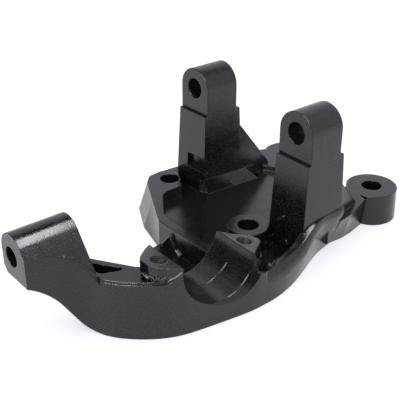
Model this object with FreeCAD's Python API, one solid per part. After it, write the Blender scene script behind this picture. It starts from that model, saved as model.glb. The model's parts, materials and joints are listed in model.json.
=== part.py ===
import FreeCAD, Part
import math
import os

# Cast axle bearing block, in millimetres. Z is up and the bolted underside lies at z = 0.
# The origin is midway between the two front bolt holes, on that underside.
# X runs along the front bolt row, and Y runs away from it towards the rear bolt row.

V = FreeCAD.Vector
UP = V(0, 0, 1)
ALONG_X = V(1, 0, 0)
ALONG_Y = V(0, 1, 0)
FAR = 400.0

# Bolt holes and the round pads they stand in
bolt_hole_d = 22.0
bolt_span = 130.0
rear_row_y = 162.0
rear_row_shift = 23.5
pad_z = 34.0
left_rear_pad_z = 27.0
front_pad_r = 21.0
rear_boss_r = 27.5
boss_draft = 1.0

# Tray with its raised rim and sunken floor
floor_z = 21.0
rim_width = 11.0
tray_front_y = -65.0
tray_corner_x = 1.5
tray_flare = 10.0
notch_floor_z = 9.0
recess_floor_z = 12.0

# The two ears with their pin bores
ear_bore_d = 22.0
ear_span = 151.7
ear_left_x = -54.5
ear_front_y = 28.0
ear_thickness = 40.4
ear_width = 43.5
ear_bore_z = 137.6
ear_step_z = 111.0
ear_ledge = 3.0
ear_rear_ledge = 5.0
ear_draft = 4.5
ear_side_draft = 2.6
ear_foot_z = 37.0
ear_recess_depth = 5.0
gusset_thickness = 8.0

# Rail from the seat to the right ear
rail_inner_x = 104.0

# Half-round axle seat, closed by a cap on two studs
seat_r = 40.0
seat_y = -93.0
seat_z = 62.0
seat_rear_x = 79.0
seat_tilt = 11.2
stud_x = 107.0
stud_span = 100.4
stud_hole_d = 15.0
stud_depth = 32.0

# Arm from the seat to the hub
arm_top_z = 60.0
arm_pocket_z = 38.0

# Hub with its cross bore
hub_bore_d = 19.2
hub_bore_x = 34.5
hub_bore_z = 79.3
hub_front_y = -242.0
hub_length = 55.0
hub_arch_x = 37.0
hub_arch_z = 83.0
hub_arch_r = 19.3
hub_lean = 37.4
hub_floor_z = 57.0


def rounded(points, z):
    """Closed wire through the corners (x, y, radius) at height z, each corner an arc."""
    corners = [V(x, y, z) for x, y, _ in points]
    count = len(corners)
    starts = []
    mids = []
    ends = []
    for i, corner in enumerate(corners):
        before = (corners[i - 1] - corner).normalize()
        after = (corners[(i + 1) % count] - corner).normalize()
        radius = points[i][2]
        half = before.getAngle(after) / 2
        bisector = (before + after).normalize()
        centre = corner + bisector * (radius / math.sin(half))
        starts.append(corner + before * (radius / math.tan(half)))
        mids.append(centre - bisector * radius)
        ends.append(corner + after * (radius / math.tan(half)))
    edges = []
    for i in range(count):
        edges.append(Part.Arc(starts[i], mids[i], ends[i]).toShape())
        edges.append(Part.LineSegment(ends[i], starts[(i + 1) % count]).toShape())
    return Part.Wire(edges)


def lines(points):
    return [Part.LineSegment(a, b).toShape() for a, b in zip(points[:-1], points[1:])]


def outline(points, z=0.0):
    corners = [V(x, y, z) for x, y in points]
    return Part.Wire(lines(corners + corners[:1]))


def spline(points):
    curve = Part.BSplineCurve()
    curve.interpolate(points)
    return curve.toShape()


def prism(wire, height, direction=UP):
    return Part.Face(wire).extrude(direction * height)


def cylinder(x, y, z, radius, height, direction=UP):
    return Part.makeCylinder(radius, height, V(x, y, z), direction)


def box(x0, x1, y0, y1, z0, z1):
    return Part.makeBox(x1 - x0, y1 - y0, z1 - z0, V(x0, y0, z0))


half_span = bolt_span / 2
front_holes = [(-half_span, 0.0), (half_span, 0.0)]
rear_holes = [(x + rear_row_shift, rear_row_y) for x, _ in front_holes]
ear_xs = [ear_left_x, ear_left_x + ear_span]
ear_rear_y = ear_front_y + ear_thickness
hub_rear_y = hub_front_y + hub_length

tilt = math.radians(seat_tilt)
across = V(0, math.cos(tilt), -math.sin(tilt))
clamp_up = V(0, math.sin(tilt), math.cos(tilt))
seat_centre = V(stud_x, seat_y, seat_z)

# Outer line of the casting's tall wall in plan, from the hub round the seat.
wall_plan = [
    V(57.8, hub_front_y, 0),
    V(59.5, -230, 0),
    V(62.5, -215, 0),
    V(67, -204, 0),
    V(74, -195, 0),
    V(83, -188.5, 0),
    V(94, -181.5, 0),
    V(107, -169.5, 0),
    V(119, -154, 0),
    V(127.5, -137, 0),
    V(133, -115, 0),
    V(137.5, -88, 0),
    V(141, -62, 0),
    V(141, -45, 0),
]


def wall_block(height, inner):
    """Upright block between the wall's outer line and the inner corner points."""
    points = [wall_plan[-1]] + [V(x, y, 0) for x, y in inner] + [wall_plan[0]]
    return prism(Part.Wire([spline(wall_plan)] + lines(points)), height)


def make_plate():
    """Base plate: its free side below the front left bolt flares towards the floor."""
    left = -half_span - front_pad_r
    rim = [
        (left + 1, 8, 8), (left + 1, -14, 12), (-74, -24.5, 8), (-38, -44, 1), (tray_corner_x, tray_front_y, 2),
        (seat_rear_x + 10, tray_front_y, 2), (112, -20, 6), (108, 50, 6), (98, 116, 10), (72, 128, 14),
        (48, 116, 24), (6, 116, 24), (-16, 140, 10), (-58, 166, 10), (-77, 110, 20),
    ]
    flared = {0: (-1, 0), 1: (-2, -5), 2: (-tray_flare, -6), 3: (-6, -8)}
    low = []
    for i, (x, y, r) in enumerate(rim):
        dx, dy = flared.get(i, (0, 0))
        low.append((x + dx, y + dy, r))
    return Part.makeLoft([rounded(low, 0), rounded(rim, pad_z)], True, True)


def make_pocket():
    """Sunken floor of the tray, open between the ears and under the left gusset."""
    front = tray_front_y + rim_width
    shape = [
        (-48, -18, 5), (-36, -35, 5), (-3, front, 8), (seat_rear_x - 8, front, 4), (seat_rear_x - 4, -20, 3),
        (112, -24, 4), (112, 24, 4), (74, 30, 4), (70, 92, 14), (58, 112, 10), (44, 150, 4), (-10, 150, 4),
        (-14, 124, 6), (-30, 116, 6), (-50, 100, 4), (-34, 66, 4), (-34, 24, 4), (-48, 10, 4),
    ]
    return prism(rounded(shape, floor_z), FAR)


def make_rear_step():
    """What is cut off the plate behind the left ear, down to the left rear pad's level."""
    shape = [(-110, 76, 2), (-28, 76, 2), (46, 96, 2), (46, 220, 2), (-110, 220, 2)]
    return prism(rounded(shape, left_rear_pad_z), FAR)


def make_notch_floor():
    """Low web that ties the arm to the tray's front wall."""
    inner = [(4, tray_front_y + 5, 2), (seat_rear_x + 5, tray_front_y + 5, 2), (seat_rear_x + 5, -150, 2),
             (66, -150, 12), (40, -98, 40), (8, -80, 8)]
    return prism(rounded(inner, 0), notch_floor_z)


def make_pad(x, y, radius, top):
    return Part.makeCone(radius + boss_draft, radius, top, V(x, y, 0))


def make_ear(x):
    """Upright lug: drafted block, then a machined upper part with a round top."""
    half = ear_width / 2
    low_x = half + ear_side_draft
    front = ear_front_y - ear_ledge
    rear = ear_rear_y + ear_rear_ledge
    base_z = recess_floor_z - 4
    low = outline([(x - low_x, front - ear_draft), (x + low_x, front - ear_draft),
                   (x + low_x, rear + ear_draft), (x - low_x, rear + ear_draft)], base_z)
    high = outline([(x - half, front), (x + half, front), (x + half, rear), (x - half, rear)], ear_step_z)
    block = Part.makeLoft([low, high], True, True)
    neck = box(x - half, x + half, ear_front_y, ear_rear_y, ear_step_z - 1, ear_bore_z)
    crown = cylinder(x, ear_front_y, ear_bore_z, half, ear_thickness, ALONG_Y)
    return block.fuse([neck, crown])


def make_undercut():
    """What is cut off the right ear's block below the rail that runs into its side."""
    side = ear_xs[1] + ear_width / 2 + ear_side_draft
    wedge = Part.Wire(lines([V(side, 0, 46), V(side - 20, 0, 0), V(side + 20, 0, 0), V(side + 20, 0, 46),
                             V(side, 0, 46)]))
    return prism(wedge, 120, ALONG_Y)


def make_ear_foot():
    """Sloped foot of the left ear: it spreads over the tray's floor to the front and the right."""
    right = ear_left_x + ear_width / 2 + ear_side_draft - 1
    sections = []
    for y, top, reach in ((12, 22, 0.5), (24, ear_foot_z, 5), (54, ear_foot_z, 7), (96, ear_foot_z - 3, 14)):
        sections.append(Part.makePolygon([V(right - 22, y, floor_z - 1), V(right + reach, y, floor_z - 1),
                                          V(right + 0.5, y, top), V(right - 22, y, top),
                                          V(right - 22, y, floor_z - 1)]))
    return Part.makeLoft(sections, True, True)


def make_gusset(x, top_z, foot, foot_z):
    """Triangular web behind an ear, from its rear face at x down to the plate at foot."""
    start = V(x, ear_rear_y, 0)
    run = (V(foot[0], foot[1], 0) - start).normalize()
    reach = (V(foot[0], foot[1], 0) - start).Length
    across_web = UP.cross(run)
    corners = [(-6, 10), (reach, 10), (reach, foot_z), (ear_rear_ledge, top_z), (-6, top_z), (-6, 10)]
    side = Part.Wire(lines([start + run * along + UP * z - across_web * (gusset_thickness / 2)
                            for along, z in corners]))
    return prism(side, gusset_thickness, across_web)


def rail_section(y, inner, crest, side, foot_x):
    """Upright section of the side rail at y, given by (x, z) of its inner edge, crest and shoulder."""
    top = V(crest[0], y, crest[1])
    end = V(side[0], y, side[1])
    bulge = V(crest[0] + 0.7 * (side[0] - crest[0]) + 0.4, y, crest[1] + 0.36 * (side[1] - crest[1]))
    edges = [Part.Arc(top, bulge, end).toShape()]
    edges += lines([end, V(foot_x, y, 0), V(rail_inner_x, y, 0), V(rail_inner_x, y, recess_floor_z),
                    V(inner[0], y, inner[1]), top])
    return Part.Wire(edges)


def make_side_rail():
    """Round-topped rail from the seat to the right ear, flush with the ear's side at its end."""
    stations = [
        (-66, (131, 37), (134, 38), (139.6, 27), 139.6), (-46, (129, 33), (134, 34), (141.0, 22), 141.0),
        (-28, (127, 29.5), (132.5, 30.5), (140.0, 17), 140.0), (-10, (123.5, 29.5), (130, 31), (136.8, 16), 136.2),
        (5, (120.5, 32), (127.8, 33), (133.0, 18), 131.4), (18, (118, 38), (126.2, 37), (129.6, 21), 126.2),
        (27, (116, 45), (124.8, 42), (127.0, 27), 122.4), (36, (114, 50), (123.4, 46.5), (124.6, 34), 118.4),
        (47, (112, 52), (122.0, 49.5), (122.2, 40), 113.8), (60, (112, 52), (121.4, 50.5), (121.4, 43), 109.6),
        (79, (112, 52), (121.2, 50.5), (121.1, 43), 105.6),
    ]
    sections = [rail_section(*station) for station in stations]
    return Part.makeLoft(sections, True, False, False, 3).common(box(-FAR, FAR, -FAR, FAR, 0, FAR))


def make_rail_recess():
    """Low floor between the front right pad, the seat and the right ear."""
    shape = [(84, -34, 4), (122, -40, 4), (129, -34, 3), (122, 6, 8), (116, 24, 4), (80, 24, 4)]
    return prism(rounded(shape, recess_floor_z), FAR)


def make_rear_arm():
    """Arm from the right ear's side back to the rear boss, its outer face leaning out to the top."""
    low = outline([(80, 70), (105, 70), (105.3, 79), (106.5, 98), (105, 114), (100.5, 134), (76, 140)])
    high = outline([(80, 70), (116, 70), (119.5, 79), (117.5, 95), (109.5, 119), (105, 132), (72, 140)], pad_z)
    return Part.makeLoft([low, high], True, True)


def make_seat_block():
    """Block under the seat and its two stud pads, up to the tilted clamp face."""
    region = wall_block(FAR, [(100, -20), (60, -20), (60, -160), (37, hub_rear_y), (10, hub_front_y)])
    pads = prism(outline([
        (seat_rear_x, -54), (seat_rear_x, -132), (86, -142), (95, -153), (100, -157), (112, -157),
        (119, -153), (132, -135), (160, -135), (160, -52), (134, -52), (130, -41), (121, -31), (109, -27),
        (98, -31), (90, -45),
    ]), FAR)
    above = Part.makeBox(FAR, FAR, FAR, V(0, 0, 0))
    corner = seat_centre - across * (FAR / 2) - ALONG_X * (FAR / 2)
    above.Placement = FreeCAD.Placement(corner, FreeCAD.Rotation(ALONG_X, -seat_tilt))
    return region.common(pads).cut(above)


def make_hub_section():
    """Arch over the bore, with the slanted right side running down over the arm."""
    lean = math.radians(hub_lean)
    y = hub_front_y
    left = hub_arch_x - hub_arch_r
    tangent = V(hub_arch_x + hub_arch_r * math.cos(lean), y, hub_arch_z + hub_arch_r * math.sin(lean))
    run = 45.0
    far_side = tangent + V(run, 0, -run / math.tan(lean))
    start = V(left, y, hub_arch_z)
    edges = [Part.Arc(start, V(hub_arch_x, y, hub_arch_z + hub_arch_r), tangent).toShape()]
    edges += lines([tangent, far_side, V(far_side.x, y, 0), V(48, y, 0), V(44, y, hub_floor_z),
                    V(left + 6, y, hub_floor_z), V(left, y, hub_floor_z + 7), start])
    return Part.Wire(edges)


def make_arm_relief():
    """Cutter under the arm: an S-curve that lifts the underside up to the hub."""
    curve = spline([V(0, hub_front_y - 6, 59.5), V(0, hub_front_y, 58), V(0, -232, 52), V(0, -222, 43),
                    V(0, -215, 34.5), V(0, -209, 25), V(0, -202, 13.5), V(0, -195.5, 5), V(0, -187, 0)])
    sides = lines([V(0, -187, 0), V(0, -187, -10), V(0, hub_front_y - 6, -10), V(0, hub_front_y - 6, 59.5)])
    return prism(Part.Wire([curve] + sides), 130, ALONG_X)


# Plate, pads and ears
body = make_plate().cut([make_pocket(), make_rear_step(), make_rail_recess()])
solids = [make_pad(x, y, front_pad_r, pad_z) for x, y in front_holes]
solids.append(make_pad(*rear_holes[0], rear_boss_r, left_rear_pad_z))
solids.append(make_pad(*rear_holes[1], rear_boss_r, pad_z))
solids += [make_ear(ear_xs[0]), make_ear(ear_xs[1]).cut(make_undercut())]
solids.append(make_ear_foot())
solids.append(make_gusset(ear_xs[0] + 17, 92, (ear_xs[0] + 17, 122), left_rear_pad_z + 3))
solids.append(make_gusset(ear_xs[1] + 14, 82, (98, 121), pad_z - 1))
solids.append(make_side_rail())
solids.append(make_rear_arm())
solids.append(make_notch_floor())
body = body.fuse(solids)

# Arm and hub inside the tall wall's outer line
arm_region = wall_block(FAR, [(110, -130), (88, -154), (37, hub_rear_y), (10, hub_rear_y), (10, hub_front_y)])
hub = prism(make_hub_section(), hub_length, ALONG_Y)
arm_low = arm_region.common(box(hub_arch_x, FAR, hub_rear_y - 0.5, 0, 0, arm_top_z))
arm = arm_region.common(hub).fuse(arm_low).cut(make_arm_relief())
arm_pocket = prism(rounded([(52, -186.0, 2), (89, -158, 3), (79, -182.5, 3), (72, -186.0, 2)], arm_pocket_z), FAR)
arm = arm.cut(arm_pocket)

seat_block = make_seat_block()
body = body.fuse([arm, seat_block])

# Seat, stud holes, bolt holes and pin bores
recess_x = ear_left_x - 6
cuts = [box(recess_x, recess_x + 40, ear_front_y - 20, ear_front_y - ear_ledge - 3 + ear_recess_depth, 46, 62)]
cuts.append(cylinder(seat_rear_x - 1, seat_y, seat_z, seat_r, FAR, ALONG_X))
for side in (-1, 1):
    mouth = seat_centre + across * (side * stud_span / 2)
    start = mouth - clamp_up * stud_depth
    cuts.append(Part.makeCylinder(stud_hole_d / 2, stud_depth + FAR, start, clamp_up))
for x, y in front_holes + rear_holes:
    cuts.append(cylinder(x, y, -1, bolt_hole_d / 2, pad_z + 2))
for x in ear_xs:
    cuts.append(cylinder(x, 0, ear_bore_z, ear_bore_d / 2, FAR, ALONG_Y))
cuts.append(cylinder(hub_bore_x, hub_front_y - 1, hub_bore_z, hub_bore_d / 2, hub_length + 2, ALONG_Y))
body = body.cut(cuts)

os.makedirs("parts", exist_ok=True)
body.exportStep("parts/bearing_block.step")
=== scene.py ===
import bmesh
import bpy
import json
import math
from mathutils import Matrix, Vector

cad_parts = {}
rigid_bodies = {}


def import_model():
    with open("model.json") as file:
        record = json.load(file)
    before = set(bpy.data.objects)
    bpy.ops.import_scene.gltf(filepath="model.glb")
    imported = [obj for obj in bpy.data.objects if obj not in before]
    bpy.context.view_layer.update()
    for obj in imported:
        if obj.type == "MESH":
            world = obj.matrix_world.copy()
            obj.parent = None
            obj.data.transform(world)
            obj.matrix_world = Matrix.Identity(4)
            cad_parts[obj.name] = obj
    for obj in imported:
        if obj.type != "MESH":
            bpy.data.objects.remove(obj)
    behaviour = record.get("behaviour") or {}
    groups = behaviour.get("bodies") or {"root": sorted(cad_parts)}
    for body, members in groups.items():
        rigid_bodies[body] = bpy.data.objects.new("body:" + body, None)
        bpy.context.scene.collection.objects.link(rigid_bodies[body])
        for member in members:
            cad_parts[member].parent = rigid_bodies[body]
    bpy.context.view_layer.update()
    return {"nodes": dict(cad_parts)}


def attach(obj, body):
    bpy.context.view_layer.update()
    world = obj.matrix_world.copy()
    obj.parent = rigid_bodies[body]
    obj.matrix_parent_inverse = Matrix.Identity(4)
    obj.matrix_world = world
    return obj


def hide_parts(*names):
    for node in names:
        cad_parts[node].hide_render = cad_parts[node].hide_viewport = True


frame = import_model()
scene = bpy.context.scene


# The camera stands to the right of the front bolt row, about 29 degrees above the level. Its lens and its
# place, in metres, were solved from the casting's parallel and square edges.
eye = Vector((0.5712, -0.4760, 0.4458))
target = Vector((-0.02506, 0.01111, 0.01982))
camera = bpy.data.objects.new("camera", bpy.data.cameras.new("camera"))
camera.data.sensor_width = 36.0
camera.data.lens = 71.91
camera.data.clip_end = 20.0
camera.location = eye
camera.rotation_euler = (target - eye).to_track_quat("-Z", "Y").to_euler()
scene.collection.objects.link(camera)
scene.camera = camera
scene.view_settings.view_transform = "Standard"


# The studio: a white paper floor and a white surround, which gloss mirrors. The mirrored surround is dim
# above about 50 degrees and on the hub's side (-Y), where two soft lamps stand. Sizes are in metres.
def linear(code):
    """Linear colour of an sRGB hex code."""
    parts = [int(code[i:i + 2], 16) / 255 for i in (0, 2, 4)]
    return [c / 12.92 if c <= 0.04045 else ((c + 0.055) / 1.055) ** 2.4 for c in parts] + [1.0]


def node(tree, kind, links=(), **settings):
    """Adds one shader node, sets its fields and inputs, and links (input, output socket) pairs."""
    made = tree.nodes.new(kind)
    for name, value in settings.items():
        if hasattr(made, name):
            setattr(made, name, value)
        else:
            made.inputs[name.replace("_", " ")].default_value = value
    for name, socket in links:
        tree.links.new(socket, made.inputs[name])
    return made


world = bpy.data.worlds.new("studio")
scene.world = world
world.use_nodes = True
sky = world.node_tree
sky.nodes.clear()
rays = node(sky, "ShaderNodeLightPath")
direction = node(sky, "ShaderNodeTexCoord")
split = node(sky, "ShaderNodeSeparateXYZ", links=[("Vector", direction.outputs["Generated"])])
ceiling = node(sky, "ShaderNodeMapRange", links=[("Value", split.outputs["Z"])],
               From_Min=0.75, From_Max=0.81, To_Min=1.0, To_Max=0.10)
hub_side = node(sky, "ShaderNodeMapRange", links=[("Value", split.outputs["Y"])],
                From_Min=-0.36, From_Max=-0.2, To_Min=0.08, To_Max=1.0)
level = node(sky, "ShaderNodeMath", operation="MULTIPLY",
             links=[(0, ceiling.outputs[0]), (1, hub_side.outputs[0])])
mirror = node(sky, "ShaderNodeMath", operation="MAXIMUM",
              links=[(0, rays.outputs["Is Glossy Ray"]), (1, rays.outputs["Is Transmission Ray"])])
soft = node(sky, "ShaderNodeBackground", Color=linear("FFFFFF"), Strength=0.75)
mirrored = node(sky, "ShaderNodeBackground", Color=linear("F3F5FF"), links=[("Strength", level.outputs[0])])
seen = node(sky, "ShaderNodeBackground", Color=linear("FFFFFF"), Strength=1.0)
lower = node(sky, "ShaderNodeMixShader",
             links=[(0, mirror.outputs[0]), (1, soft.outputs[0]), (2, mirrored.outputs[0])])
mix = node(sky, "ShaderNodeMixShader",
           links=[(0, rays.outputs["Is Camera Ray"]), (1, lower.outputs[0]), (2, seen.outputs[0])])
node(sky, "ShaderNodeOutputWorld", links=[("Surface", mix.outputs[0])])

floor_reach = 3
floor_z = -0.0005
floor_corners = [(-floor_reach, -floor_reach, floor_z), (floor_reach, -floor_reach, floor_z),
                 (floor_reach, floor_reach, floor_z), (-floor_reach, floor_reach, floor_z)]
floor_mesh = bpy.data.meshes.new("floor")
floor_mesh.from_pydata(floor_corners, [], [(0, 1, 2, 3)])
floor = bpy.data.objects.new("floor", floor_mesh)
scene.collection.objects.link(floor)
paper = bpy.data.materials.new("white_paper")
paper.use_nodes = True
tree = paper.node_tree
tree.nodes.clear()
rays = node(tree, "ShaderNodeLightPath")
lit = node(tree, "ShaderNodeBsdfDiffuse", Color=linear("DEDFE1"))
lift = node(tree, "ShaderNodeEmission", Color=linear("F6F8FF"), Strength=0.66)
bright = node(tree, "ShaderNodeAddShader", links=[(0, lit.outputs[0]), (1, lift.outputs[0])])
mirror = node(tree, "ShaderNodeMath", operation="MAXIMUM",
              links=[(0, rays.outputs["Is Glossy Ray"]), (1, rays.outputs["Is Transmission Ray"])])
white = node(tree, "ShaderNodeMath", operation="MAXIMUM",
             links=[(0, rays.outputs["Is Camera Ray"]), (1, mirror.outputs[0])])
mix = node(tree, "ShaderNodeMixShader",
           links=[(0, white.outputs[0]), (1, lit.outputs[0]), (2, bright.outputs[0])])
node(tree, "ShaderNodeOutputMaterial", links=[("Surface", mix.outputs[0])])
floor.data.materials.append(paper)


def softbox(name, place, aim, width, height, power):
    """Rectangular lamp that only the gloss shows, at place, turned to aim, in metres and watts."""
    lamp = bpy.data.objects.new(name, bpy.data.lights.new(name, "AREA"))
    lamp.data.shape = "RECTANGLE"
    lamp.data.size = width
    lamp.data.size_y = height
    lamp.data.energy = power
    lamp.location = place
    lamp.rotation_euler = (Vector(aim) - lamp.location).to_track_quat("-Z", "Y").to_euler()
    lamp.visible_diffuse = False
    scene.collection.objects.link(lamp)


softbox("overhead_softbox", place=(0.22, -0.02, 0.62), aim=(0.12, -0.0201, 0.0),
        width=0.2, height=0.46, power=4.0)
softbox("hub_side_softbox", place=(0.227, -0.633, 0.696), aim=(0.1, -0.15, 0.03),
        width=0.6, height=0.4, power=10.0)


# The casting is the whole block in one piece: iron cast in sand, with its bolt, pin and stud holes machined,
# painted near-black but for the walls of the stud holes. Its skin is a merged copy of the solid's, with small
# cast forms cut and added. Widths in the two materials are in metres, and sizes of forms in millimetres.

# Gloss enamel on the skin of a sand casting: grain and long waves break up its reflections, and the paint
# rounds every edge. The lighter tone in the grain is painted glint, in place of the sparkle of rough paint.
# The grain is drawn coarser than sand, so that it shows.
edge_radius = 0.0014
wave_width = 0.012
grain_width = 0.0013
paint = bpy.data.materials.new("gloss_black_paint_on_cast_iron")
paint.use_nodes = True
tree = paint.node_tree
tree.nodes.clear()
place = node(tree, "ShaderNodeTexCoord")
edge = node(tree, "ShaderNodeBevel", samples=6, Radius=edge_radius)
waves = node(tree, "ShaderNodeTexNoise", links=[("Vector", place.outputs["Object"])],
             Scale=1 / wave_width, Detail=2.0)
grain = node(tree, "ShaderNodeTexNoise", links=[("Vector", place.outputs["Object"])],
             Scale=1 / grain_width, Detail=2.0)
long_skin = node(tree, "ShaderNodeBump", Strength=0.2, Distance=0.0006,
                 links=[("Height", waves.outputs["Fac"]), ("Normal", edge.outputs[0])])
skin = node(tree, "ShaderNodeBump", Strength=0.4, Distance=0.0003,
            links=[("Height", grain.outputs["Fac"]), ("Normal", long_skin.outputs[0])])
sheen = node(tree, "ShaderNodeMapRange", links=[("Value", waves.outputs["Fac"])],
             From_Min=0.3, From_Max=0.7, To_Min=0.13, To_Max=0.24)
# Painted glint: the grain's high spots are coloured lighter than the near-black paint.
painted_glint_speck = node(tree, "ShaderNodeMapRange", links=[("Value", grain.outputs["Fac"])],
             From_Min=0.42, From_Max=0.68)
paint_tone_and_painted_glints = node(tree, "ShaderNodeMix", data_type="RGBA", links=[("Factor", painted_glint_speck.outputs[0])])
paint_tone_and_painted_glints.inputs["A"].default_value = linear("0B0C10")
paint_tone_and_painted_glints.inputs["B"].default_value = linear("2B2E35")
paint_colour_and_painted_glints = next(socket for socket in paint_tone_and_painted_glints.outputs if socket.type == "RGBA" and socket.enabled)
gloss = node(tree, "ShaderNodeBsdfPrincipled",
             links=[("Base Color", paint_colour_and_painted_glints), ("Normal", skin.outputs[0]), ("Roughness", sheen.outputs[0])])
node(tree, "ShaderNodeOutputMaterial", links=[("Surface", gloss.outputs[0])])

# Bare machined iron on the walls of the two tapped stud holes: dull grey metal whose thread rings catch the
# light. The rings lean with the seat's clamp face. A wave texture of scale 1 repeats every pi / 10.
clamp_lean = math.radians(11.2)
thread_pitch = 0.002
wear_width = 0.003
iron = bpy.data.materials.new("bare_machined_iron")
iron.use_nodes = True
tree = iron.node_tree
tree.nodes.clear()
place = node(tree, "ShaderNodeTexCoord")
leaning = node(tree, "ShaderNodeMapping", links=[("Vector", place.outputs["Object"])],
               Rotation=(clamp_lean, 0, 0))
thread = node(tree, "ShaderNodeTexWave", bands_direction="Z", links=[("Vector", leaning.outputs[0])],
              Scale=math.pi / 10 / thread_pitch)
rings = node(tree, "ShaderNodeBump", links=[("Height", thread.outputs["Fac"])], Strength=0.6, Distance=0.0003)
wear = node(tree, "ShaderNodeTexNoise", links=[("Vector", place.outputs["Object"])],
            Scale=1 / wear_width, Detail=3.0)
rough = node(tree, "ShaderNodeMapRange", links=[("Value", wear.outputs["Fac"])], To_Min=0.28, To_Max=0.45)
metal = node(tree, "ShaderNodeBsdfPrincipled", Base_Color=linear("8A8882"), Metallic=1.0,
             links=[("Normal", rings.outputs[0]), ("Roughness", rough.outputs[0])])
node(tree, "ShaderNodeOutputMaterial", links=[("Surface", metal.outputs[0])])


def prism(low, low_z, high, high_z):
    """Closed mesh between two level outlines of (x, y) corners, at low_z and high_z, in millimetres."""
    count = len(low)
    corners = [(x, y, low_z) for x, y in low] + [(x, y, high_z) for x, y in high]
    ends = [tuple(reversed(range(count))), tuple(range(count, 2 * count))]
    sides = [(i, (i + 1) % count, count + (i + 1) % count, count + i) for i in range(count)]
    mesh = bpy.data.meshes.new("form")
    mesh.from_pydata([(x / 1000, y / 1000, z / 1000) for x, y, z in corners], [], ends + sides)
    made = bmesh.new()
    made.from_mesh(mesh)
    bmesh.ops.recalc_face_normals(made, faces=made.faces)
    made.to_mesh(mesh)
    made.free()
    return mesh


def tube(start, end, start_radius, end_radius, sides=64):
    """Closed straight tube or cone from start to end, in millimetres."""
    a = Vector(start) / 1000
    b = Vector(end) / 1000
    turn = (b - a).to_track_quat("Z", "Y").to_matrix().to_4x4()
    made = bmesh.new()
    bmesh.ops.create_cone(made, cap_ends=True, segments=sides, radius1=start_radius / 1000,
                          radius2=end_radius / 1000, depth=(b - a).length,
                          matrix=Matrix.Translation((a + b) / 2) @ turn)
    mesh = bpy.data.meshes.new("form")
    made.to_mesh(mesh)
    made.free()
    return mesh


def reshape(obj, meshes, operation):
    """Cuts the closed meshes out of the object's mesh, or adds them to it."""
    forms = bpy.data.collections.new("forms")
    for mesh in meshes:
        forms.objects.link(bpy.data.objects.new("form", mesh))
    step = obj.modifiers.new("step", "BOOLEAN")
    step.operation = operation
    step.solver = "EXACT"
    step.operand_type = "COLLECTION"
    step.collection = forms
    scene.collection.children.link(forms)
    done = bpy.data.meshes.new_from_object(obj.evaluated_get(bpy.context.evaluated_depsgraph_get()))
    obj.modifiers.clear()
    obj.data = done
    for form in list(forms.objects):
        bpy.data.objects.remove(form)
    bpy.data.collections.remove(forms)


merge_distance = 1e-5
solid = frame["nodes"]["bearing_block"]
casting = bpy.data.objects.new("painted_casting", solid.data.copy())
scene.collection.objects.link(casting)
merged = bmesh.new()
merged.from_mesh(casting.data)
bmesh.ops.remove_doubles(merged, verts=merged.verts, dist=merge_distance)
merged.to_mesh(casting.data)
merged.free()

# Forms cut away: the pointed gap between the front left pad and the ear, the space for the ear's sloped foot,
# the facet on the foot's corner, the recess in the gusset, the rail's low shoulder and its groove, and the
# cone at the mouth of the seat. A hair is left where two faces would share a plane.
hair = 0.02
pocket_floor = 21.0
pad_gap_top = 41
pad_gap = prism([(-76, 21.15), (-43.5, 0.5), (-10, 0.5), (-10, 21.15)], pocket_floor + hair,
                [(-76, 22.05), (-43.5, 0.5), (-10, 0.5), (-10, 22.05)], pad_gap_top)
foot_room_top = 39.5
foot_room = prism([(-30.5, 10), (-5, 10), (-5, 99), (-30.5, 99)], pocket_floor + hair,
                  [(-30.97, 10), (-5, 10), (-5, 99), (-30.97, 99)], foot_room_top)
foot_facet_top = 40
foot_facet = prism([(-41, 20.2), (-29.4, 27), (-24, 10)], pocket_floor + hair / 2,
                   [(-31.2, 21.4), (-30.4, 22.2), (-24, 10)], foot_facet_top)
gusset_outline = [(-33.2, 92), (-33.2, 106), (-20.5, 92)]
gusset_recess_floor = 12
gusset_recess_top = 22
gusset_recess = prism(gusset_outline, gusset_recess_floor, gusset_outline, gusset_recess_top)
shoulder_outline = [(132.8, -54.2), (111, -24.5), (125, -12), (152, -40), (152, -54.2)]
shoulder_z = 38.6
above_rail = 80
shoulder = prism(shoulder_outline, shoulder_z, shoulder_outline, above_rail)
groove_radius = 7
groove = tube((110, -7, 19), (139, -51, 44), groove_radius, groove_radius)
seat_y = -93
seat_z = 62
seat_radius = 40
mouth_start_x = 133.8
mouth_start_radius = seat_radius - 0.2
mouth_end_x = 149
mouth_end_radius = 55
mouth = tube((mouth_start_x, seat_y, seat_z), (mouth_end_x, seat_y, seat_z),
             mouth_start_radius, mouth_end_radius)
reshape(casting, [pad_gap, foot_room, foot_facet, gusset_recess, shoulder, groove, mouth], "DIFFERENCE")

# Forms added: the rim of the tray beside the front left pad, and the sloped foot of the left ear, as three
# sections from front to rear.
rim_outline = [(-47, 2), (-43.5, 0.5), (-43.2, -20), (-41.5, -25), (-38, -29.7), (-3.5, -54.3), (-10, -59),
               (-54, -27)]
rim_low_z = 14
pad_top = 34
rim = prism(rim_outline, rim_low_z, rim_outline, pad_top - hair)
foot_back_x = -40
foot_face_x = -31.25
foot_crest_x = -30.75
foot_low_z = 20.5
foot_corners = []
for low_y, high_y, reach, top_z in ((26.5, 24.5, 3, 38), (60, 52, 6.5, 37), (95.5, 82, 9.5, 35.5)):
    foot_corners += [(foot_back_x, low_y, foot_low_z), (foot_face_x + reach, low_y, foot_low_z),
                     (foot_crest_x, high_y, top_z), (foot_back_x, high_y, top_z)]
foot_faces = [(3, 2, 1, 0), (8, 9, 10, 11)]
for first in (0, 4):
    for j in range(4):
        next_j = (j + 1) % 4
        foot_faces.append((first + j, first + next_j, first + 4 + next_j, first + 4 + j))
foot = bpy.data.meshes.new("form")
foot.from_pydata([(x / 1000, y / 1000, z / 1000) for x, y, z in foot_corners], [], foot_faces)

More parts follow.
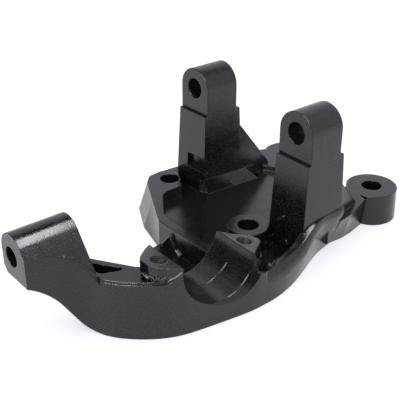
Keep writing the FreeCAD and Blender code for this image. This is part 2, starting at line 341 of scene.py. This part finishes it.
# Seams and lumps of the casting, each a line of round beads given as its radius and its points: on the tray's
# front wall, down the hub's slanted side, two along the arm's top edge, three in the seat, two below the
# arm's stud pad, two at the left ear's foot and two on the front of the right ear.
bead_sides = 14
wall_y = -66.2
arm_edge = [(87.5, -185.9), (99.3, -177.5), (108.9, -167.6), (117.2, -157.0), (124.0, -145.5)]
upper_seam_z = 59.6
lower_seam_z = 56.7
ridge_x = 105
ridge_turns = [math.radians(angle) for angle in range(-8, 50, 7)]
ridge = [(ridge_x, seat_y + seat_radius * math.sin(turn), seat_z - seat_radius * math.cos(turn))
         for turn in ridge_turns]
seams = [
    (1.8, [(8.4, wall_y, 9), (23.6, wall_y, 27.4), (30.5, wall_y, 13), (37.5, wall_y, 9)]),
    (0.9, [(63.6, -208.4, 80.0), (65.5, -202, 77.4), (68.5, -196.4, 73.6), (72.4, -191.3, 68.4),
           (77.2, -187.8, 62.2)]),
    (1.3, [(x, y, upper_seam_z) for x, y in arm_edge] + [(126.9, -139.2, 62.4), (128.9, -133.2, 66)]),
    (1.1, [(x, y, lower_seam_z) for x, y in arm_edge] + [(126.6, -139.9, 59.5)]),
    (0.45, ridge),
    (0.4, [(106, -73, 27.4), (133, -73, 27.4)]),
    (0.4, [(106, -71.2, 28.5), (133, -71.2, 28.5)]),
    (2.0, [(103.5, -157.4, 61.5), (108.5, -157.6, 63.2), (113, -157.0, 61.2)]),
    (1.6, [(113, -156.8, 64.2), (117, -154.6, 61.4), (119.5, -153, 64.8), (121.5, -150.4, 61.5),
           (123.8, -146.6, 64.5)]),
    (0.8, [(-31.9, 22.3, 37), (-33.4, 24.0, 21.5)]),
    (0.8, [(-36.2, 21.1, 36), (-38.4, 21.1, 21.5)]),
    (1.1, [(84.5, 21.6, 40), (88, 21.6, 42.5), (93.5, 21.6, 48.5)]),
    (1.3, [(97.5, 20.6, 20), (99.5, 20.6, 23.5), (101.5, 20.6, 19.5)]),
]
additions = [rim, foot]
for radius, line in seams:
    for start, end in zip(line[:-1], line[1:]):
        additions.append(tube(start, end, radius, radius, bead_sides))
reshape(casting, additions, "UNION")

# Each corner takes the mean, by area, of the faces at its point that turn less than smooth_within from its
# own face, so that round forms are smooth and flat ones stay flat.
smooth_within = math.radians(14)
mesh = casting.data
around_point = [[] for _ in mesh.vertices]
for face in mesh.polygons:
    face.use_smooth = True
    for vertex in face.vertices:
        around_point[vertex].append((face.normal.copy(), face.area))
corner_normals = []
for face in mesh.polygons:
    own = face.normal.copy()
    for vertex in face.vertices:
        total = Vector()
        for other, area in around_point[vertex]:
            if own.dot(other) > math.cos(smooth_within):
                total += other * area
        corner_normals.append(total.normalized() if total.length else own)
mesh.normals_split_custom_set(corner_normals)

# The walls of the two stud holes, 15 mm wide and 32 mm deep, are bare from bare_top below the pad to just
# past the hole's end: every face there that lies within bare_radius of the hole's axis.
stud_x = 107
stud_span = 100.4
bare_top = 0.8
bare_end = 32.5
bare_radius = 7.8
mesh.materials.clear()
mesh.materials.append(paint)
mesh.materials.append(iron)
across = Vector((0, math.cos(clamp_lean), -math.sin(clamp_lean)))
clamp_up = Vector((0, math.sin(clamp_lean), math.cos(clamp_lean)))
for side in (-1, 1):
    hole_top = Vector((stud_x, seat_y, seat_z)) + across * (side * stud_span / 2)
    for face in mesh.polygons:
        from_top = face.center * 1000 - hole_top
        depth = -from_top.dot(clamp_up)
        from_axis = (from_top + clamp_up * depth).length
        if bare_top < depth < bare_end and from_axis < bare_radius:
            face.material_index = 1
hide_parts("bearing_block")
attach(casting, "root")
